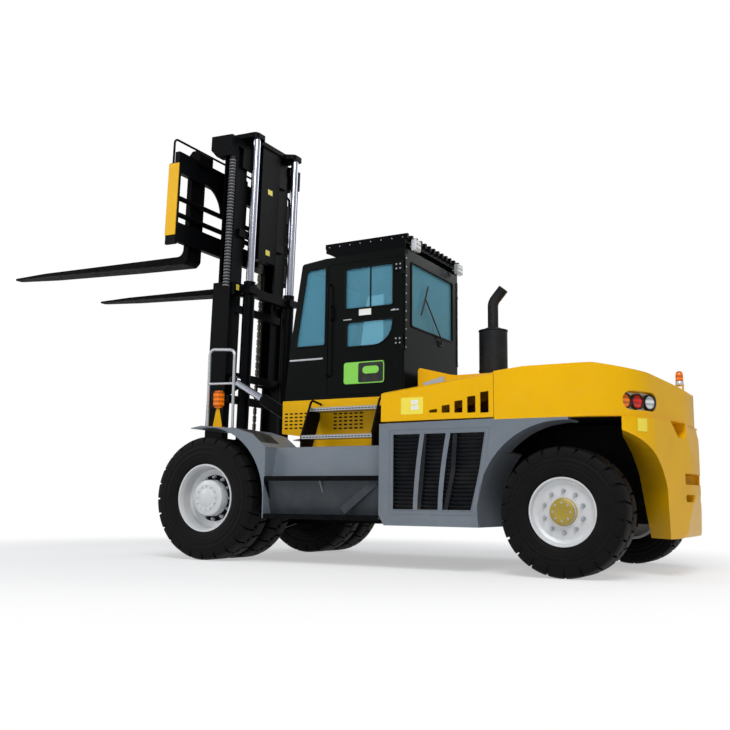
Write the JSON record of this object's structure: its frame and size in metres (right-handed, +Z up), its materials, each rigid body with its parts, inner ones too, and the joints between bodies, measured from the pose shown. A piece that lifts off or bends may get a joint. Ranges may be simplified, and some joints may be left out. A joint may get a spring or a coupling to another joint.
{
  "type": "heavy counterbalance forklift truck",
  "caption": "Heavy counterbalance lift truck with a raised two-stage mast, sliding forks, enclosed cab, twin front wheels and steered rear wheels.",
  "frame": {"origin": "middle of the whole truck in plan, on the ground under the wheels", "axes": "+X forward along the forks, +Y to the left side, +Z up"},
  "size_m": [9.1475, 3.0364, 5.3976],
  "materials": {
    "yellow": "gloss",
    "grey": "satin",
    "black": "satin",
    "dark": "satin",
    "rim": "satin",
    "tyre": "matte",
    "chrome": "polished",
    "steel": "satin",
    "iron": "matte",
    "cast_yellow": "gloss",
    "glass": "polished",
    "vinyl": "matte",
    "plastic": "matte",
    "lamp": "gloss",
    "alu": "satin",
    "rubber": "matte"
  },
  "bodies": {
    "chassis": {"frame": "dark", "front_axle": "dark", "steer_axle": "dark", "engine": "iron", "counterweight": "cast_yellow", "fenders": "grey", "side_boxes": "grey", "grilles": "dark", "hood_centre": "yellow", "exhaust": "dark", "cab_base": "yellow", "cab_floor": "black", "cab_front": "black", "cab_sides": "black", "cab_rear": "black", "cab_roof": "black", "roof_guard": "black", "cab_glass": "glass", "seat_base": "plastic", "seat_cushions": "vinyl", "console": "plastic", "lamps": "lamp", "grab_rails": "steel", "steps": "alu", "step_brackets": "dark"},
    "mast_outer": {"outer_mast": "dark", "lift_barrels": "dark", "lower_chains": "steel"},
    "mast_inner": {"inner_mast": "dark", "lift_rods": "chrome", "hose_guards": "rubber", "upper_chains": "steel"},
    "carriage": {"carriage": "dark", "carriage_strips": "yellow"},
    "wheel_front_left": {"front_tyres_left": "tyre", "front_rim_left": "rim"},
    "knuckle_left": {"steer_knuckle_left": "dark"},
    "wheel_rear_left": {"rear_tyre_left": "tyre", "rear_rim_left": "rim"},
    "fork_left": {"fork_left": "dark"},
    "tilt_barrel_left": {"tilt_barrel_left": "dark"},
    "tilt_rod_left": {"tilt_rod_left": "chrome"},
    "door_left": {"door_left": "black", "door_glass_left": "glass"},
    "hood_left": {"hood_left": "yellow"},
    "wheel_front_right": {"front_tyres_right": "tyre", "front_rim_right": "rim"},
    "knuckle_right": {"steer_knuckle_right": "dark"},
    "wheel_rear_right": {"rear_tyre_right": "tyre", "rear_rim_right": "rim"},
    "fork_right": {"fork_right": "dark"},
    "tilt_barrel_right": {"tilt_barrel_right": "dark"},
    "tilt_rod_right": {"tilt_rod_right": "chrome"},
    "door_right": {"door_right": "black", "door_glass_right": "glass"},
    "hood_right": {"hood_right": "yellow"}
  },
  "joints": [
    {"name": "mast_tilt", "type": "hinge", "parent": "chassis", "child": "mast_outer", "pos_m": [0.801, 0, 0.56], "axis": [0, 1, 0], "range_deg": [-8.6, 7.4]},
    {"name": "mast_lift", "type": "slide", "parent": "mast_outer", "child": "mast_inner", "axis": [-0.0244, 0, 0.9997], "range_m": [-1.775, 0]},
    {"name": "carriage_lift", "type": "slide", "parent": "mast_inner", "child": "carriage", "axis": [-0.0244, 0, 0.9997], "range_m": [-1.775, 0]},
    {"name": "fork_shift_left", "type": "slide", "parent": "carriage", "child": "fork_left", "axis": [0, 1, 0], "range_m": [-0.33, 0.23]},
    {"name": "tilt_cylinder_left", "type": "hinge", "parent": "chassis", "child": "tilt_barrel_left", "pos_m": [-0.479, 0.62, 1.43], "axis": [0, 1, 0], "range_deg": [-4.7, 4.09]},
    {"name": "tilt_rod_left", "type": "slide", "parent": "tilt_barrel_left", "child": "tilt_rod_left", "axis": [0.8687, 0, 0.4954], "range_m": [-0.2137, 0.1846]},
    {"name": "front_wheel_left", "type": "hinge", "parent": "chassis", "child": "wheel_front_left", "pos_m": [0.471, 1.2, 0.685], "axis": [0, 1, 0], "continuous": true},
    {"name": "steer_left", "type": "hinge", "parent": "chassis", "child": "knuckle_left", "pos_m": [-3.644, 1.17, 0.59], "axis": [0, 0, 1], "range_deg": [-45, 45]},
    {"name": "rear_wheel_left", "type": "hinge", "parent": "knuckle_left", "child": "wheel_rear_left", "pos_m": [-3.644, 1.35, 0.59], "axis": [0, 1, 0], "continuous": true},
    {"name": "cab_door_left", "type": "hinge", "parent": "chassis", "child": "door_left", "pos_m": [-1.649, 0.749, 2.63], "axis": [0, 0, 1], "range_deg": [0, 90]},
    {"name": "side_hood_left", "type": "hinge", "parent": "chassis", "child": "hood_left", "pos_m": [-1.769, 0.6, 1.845], "axis": [0.993, 0, -0.118], "range_deg": [0, 70]},
    {"name": "fork_shift_right", "type": "slide", "parent": "carriage", "child": "fork_right", "axis": [0, -1, 0], "range_m": [-0.33, 0.23]},
    {"name": "tilt_cylinder_right", "type": "hinge", "parent": "chassis", "child": "tilt_barrel_right", "pos_m": [-0.479, -0.62, 1.43], "axis": [0, 1, 0], "range_deg": [-4.7, 4.09]},
    {"name": "tilt_rod_right", "type": "slide", "parent": "tilt_barrel_right", "child": "tilt_rod_right", "axis": [0.8687, 0, 0.4954], "range_m": [-0.2137, 0.1846]},
    {"name": "front_wheel_right", "type": "hinge", "parent": "chassis", "child": "wheel_front_right", "pos_m": [0.471, -1.2, 0.685], "axis": [0, 1, 0], "continuous": true},
    {"name": "steer_right", "type": "hinge", "parent": "chassis", "child": "knuckle_right", "pos_m": [-3.644, -1.17, 0.59], "axis": [0, 0, 1], "range_deg": [-45, 45]},
    {"name": "rear_wheel_right", "type": "hinge", "parent": "knuckle_right", "child": "wheel_rear_right", "pos_m": [-3.644, -1.35, 0.59], "axis": [0, 1, 0], "continuous": true},
    {"name": "cab_door_right", "type": "hinge", "parent": "chassis", "child": "door_right", "pos_m": [-1.649, -0.749, 2.63], "axis": [0, 0, -1], "range_deg": [0, 90]},
    {"name": "side_hood_right", "type": "hinge", "parent": "chassis", "child": "hood_right", "pos_m": [-1.769, -0.6, 1.845], "axis": [-0.993, 0, 0.118], "range_deg": [0, 70]}
  ],
  "couplings": [
    {"joint": "carriage_lift", "follows": "mast_lift", "ratio": 1},
    {"joint": "tilt_cylinder_left", "follows": "mast_tilt", "ratio": 0.5115},
    {"joint": "tilt_rod_left", "follows": "mast_tilt", "m_per_rad": 1.3905},
    {"joint": "tilt_cylinder_right", "follows": "mast_tilt", "ratio": 0.5115},
    {"joint": "tilt_rod_right", "follows": "mast_tilt", "m_per_rad": 1.3905},
    {"joint": "steer_right", "follows": "steer_left", "ratio": 1}
  ]
}
